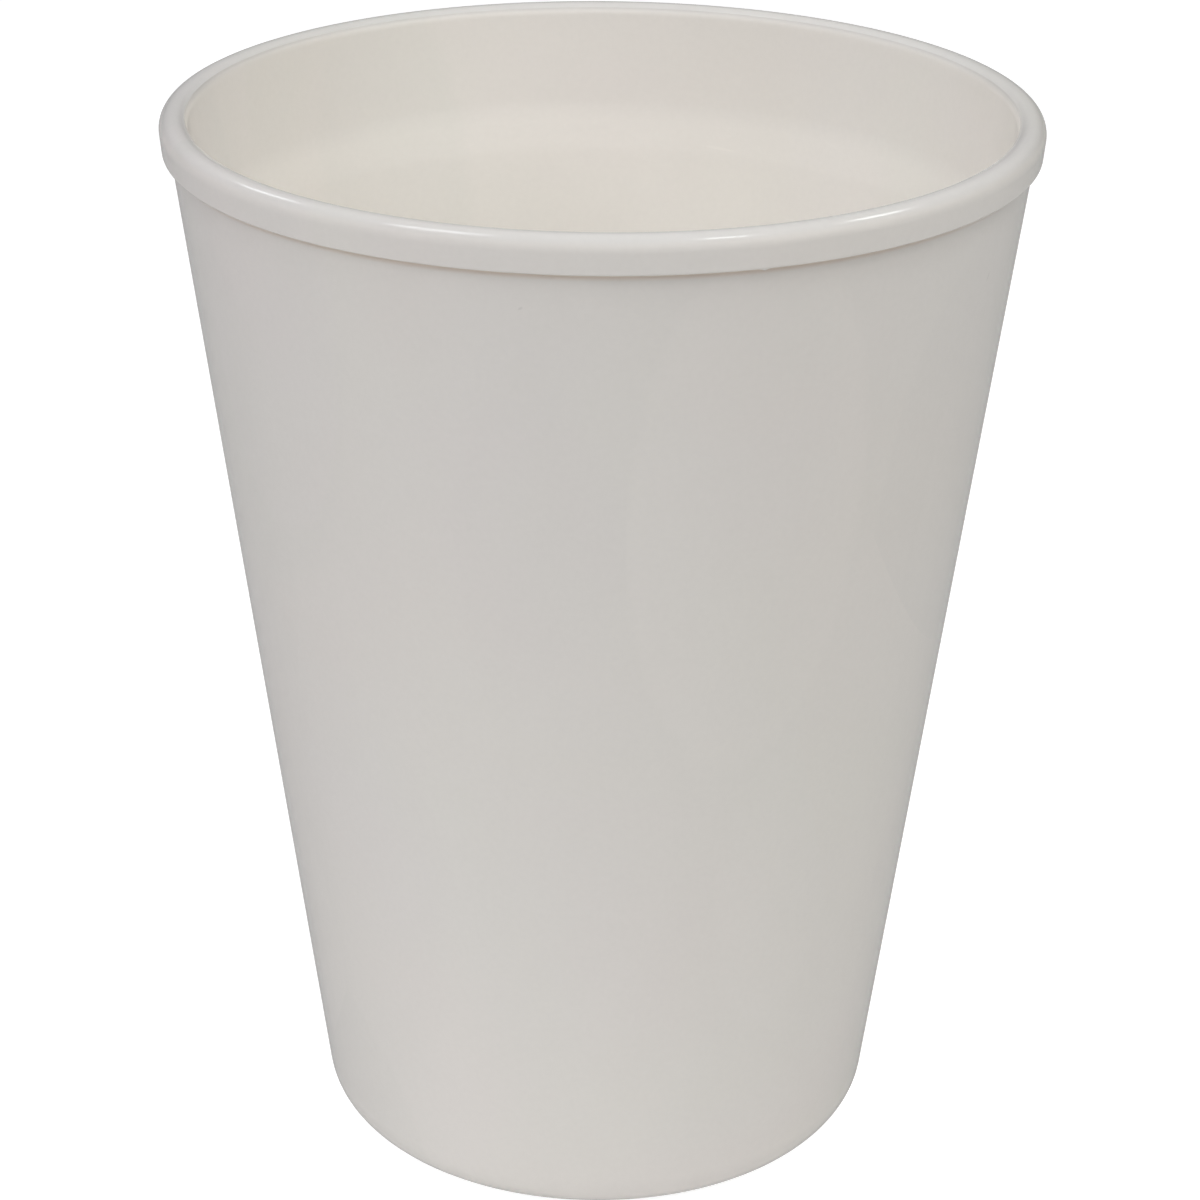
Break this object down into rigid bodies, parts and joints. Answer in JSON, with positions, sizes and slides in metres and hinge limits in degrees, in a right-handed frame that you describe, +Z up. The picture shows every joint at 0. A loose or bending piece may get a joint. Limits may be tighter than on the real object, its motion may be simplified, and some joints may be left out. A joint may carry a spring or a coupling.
{
  "type": "reusable plastic cup",
  "caption": "Tapered round drinking cup in off-white moulded plastic, with a collared, fully rounded rim, a shallow stacking band inside, a rounded heel and a flat ring to stand on.",
  "frame": {"origin": "middle of the base, on the plane that the cup stands on", "axes": "+Z up along the cup's axis, from the base to the open rim; the cup is round, so X and Y are any two square directions"},
  "size_m": [0.08, 0.08, 0.1016],
  "materials": {
    "cup_plastic": "warm off-white moulded plastic, satin gloss, with fine handling scuffs"
  },
  "bodies": {
    "root": {"cup": "cup_plastic"}
  },
  "joints": []
}
